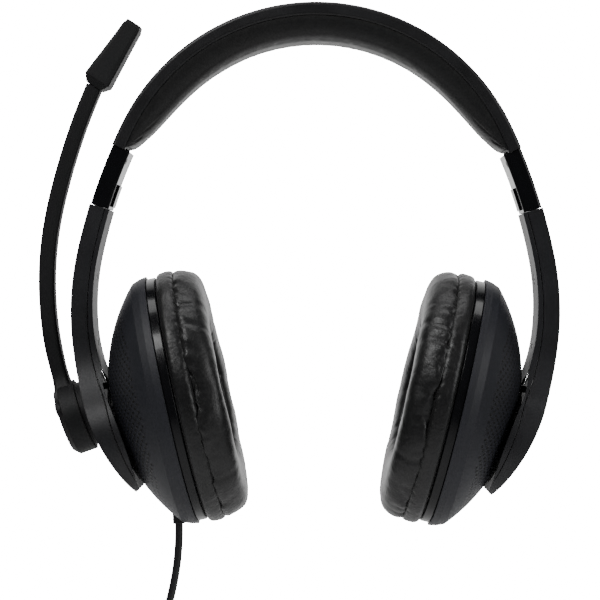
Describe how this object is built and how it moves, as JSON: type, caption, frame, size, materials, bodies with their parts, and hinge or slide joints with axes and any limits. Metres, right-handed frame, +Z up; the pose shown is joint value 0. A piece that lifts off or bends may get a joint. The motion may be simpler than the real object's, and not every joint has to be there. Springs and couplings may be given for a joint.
{
  "type": "headset",
  "caption": "Padded over-ear office headset: sprung headband, telescoping arms, tilting oval ear cups, a swinging microphone boom and a cable with a jack plug.",
  "frame": {"origin": "midway between the centres of the two ear cups, on the wearer's ear axis", "axes": "+X to the side without the boom, +Y towards the back, +Z up to the crown of the band"},
  "size_m": [0.1882, 0.0752, 0.2909],
  "materials": {
    "shell_plastic": "satin, fine moulded grain",
    "arm_plastic": "satin",
    "cup_plastic": "matte dark blue-grey",
    "gloss_trim": "gloss",
    "boom_plastic": "soft-touch matte",
    "mic_plastic": "matte",
    "leatherette": "soft grained leatherette",
    "foam": "open-cell foam",
    "driver_fabric": "fine knitted cloth",
    "inner_plastic": "plain moulded",
    "spring_steel": "cold rolled",
    "screw_steel": "black zinc",
    "magnet_steel": "nickel plated",
    "diaphragm_film": "thin clear film",
    "cable_jacket": "satin PVC",
    "contact_metal": "gold plated",
    "capsule_metal": "pressed can",
    "insulator_ring": "moulded"
  },
  "bodies": {
    "headband": {"headband_shell": "shell_plastic", "headband_liner": "inner_plastic", "headband_spring": "spring_steel", "bridge_wire": "cable_jacket", "headband_pad_cover": "leatherette", "headband_pad_foam": "foam", "left_end_housing": "gloss_trim", "right_end_housing": "gloss_trim", "left_detent_spring": "spring_steel", "right_detent_spring": "spring_steel", "left_side_marker": "gloss_trim", "right_side_marker": "gloss_trim", "housing_screws": "screw_steel"},
    "left_arm": {"left_slider_rail": "inner_plastic", "left_arm_outer_shell": "arm_plastic", "left_arm_inner_shell": "arm_plastic", "left_arm_screws": "screw_steel", "left_pivot_bracket": "inner_plastic", "boom_pivot_seat": "arm_plastic"},
    "right_arm": {"right_slider_rail": "inner_plastic", "right_arm_outer_shell": "arm_plastic", "right_arm_inner_shell": "arm_plastic", "right_arm_screws": "screw_steel", "right_pivot_bracket": "inner_plastic", "right_arm_cap": "arm_plastic"},
    "left_gimbal": {"left_gimbal_block": "inner_plastic", "left_gimbal_pins": "spring_steel"},
    "right_gimbal": {"right_gimbal_block": "inner_plastic", "right_gimbal_pins": "spring_steel"},
    "left_cup": {"left_cup_shell": "cup_plastic", "left_trim_ring": "gloss_trim", "left_baffle": "inner_plastic", "left_cup_screws": "screw_steel", "left_driver_frame": "inner_plastic", "left_driver_magnet": "magnet_steel", "left_driver_film": "diaphragm_film", "left_driver_cloth": "driver_fabric", "left_cushion_cover": "leatherette", "left_cushion_foam": "foam", "cable": "cable_jacket", "cable_strain_relief": "cable_jacket", "plug_grip": "cable_jacket", "plug_contacts": "contact_metal", "plug_insulators": "insulator_ring"},
    "right_cup": {"right_cup_shell": "cup_plastic", "right_trim_ring": "gloss_trim", "right_baffle": "inner_plastic", "right_cup_screws": "screw_steel", "right_driver_frame": "inner_plastic", "right_driver_magnet": "magnet_steel", "right_driver_film": "diaphragm_film", "right_driver_cloth": "driver_fabric", "right_cushion_cover": "leatherette", "right_cushion_foam": "foam"},
    "mic_boom": {"boom_arm": "boom_plastic", "boom_axle": "inner_plastic", "mic_housing": "mic_plastic", "mic_capsule": "capsule_metal", "mic_end_grille": "mic_plastic"}
  },
  "joints": [
    {"name": "left_size_slide", "type": "slide", "parent": "headband", "child": "left_arm", "axis": [-0.3437, 0, -0.9391], "range_m": [0, 0.0175]},
    {"name": "right_size_slide", "type": "slide", "parent": "headband", "child": "right_arm", "axis": [0.3437, 0, -0.9391], "range_m": [0, 0.0175]},
    {"name": "left_cup_swivel", "type": "hinge", "parent": "left_arm", "child": "left_gimbal", "pos_m": [-0.07106, 0, -0.00524], "axis": [-0.2207, 0, 0.9753], "range_deg": [-4, 4]},
    {"name": "right_cup_swivel", "type": "hinge", "parent": "right_arm", "child": "right_gimbal", "pos_m": [0.07106, 0, -0.00524], "axis": [0.2207, 0, 0.9753], "range_deg": [-4, 4]},
    {"name": "left_cup_tilt", "type": "hinge", "parent": "left_gimbal", "child": "left_cup", "pos_m": [-0.07106, 0, -0.00524], "axis": [0, -1, 0], "range_deg": [-4, 4]},
    {"name": "right_cup_tilt", "type": "hinge", "parent": "right_gimbal", "child": "right_cup", "pos_m": [0.07106, 0, -0.00524], "axis": [0, 1, 0], "range_deg": [-4, 4]},
    {"name": "boom_swing", "type": "hinge", "parent": "left_arm", "child": "mic_boom", "pos_m": [-0.08088, 0, -0.00531], "axis": [-0.9397, 0, -0.342], "range_deg": [-130, 130]}
  ]
}
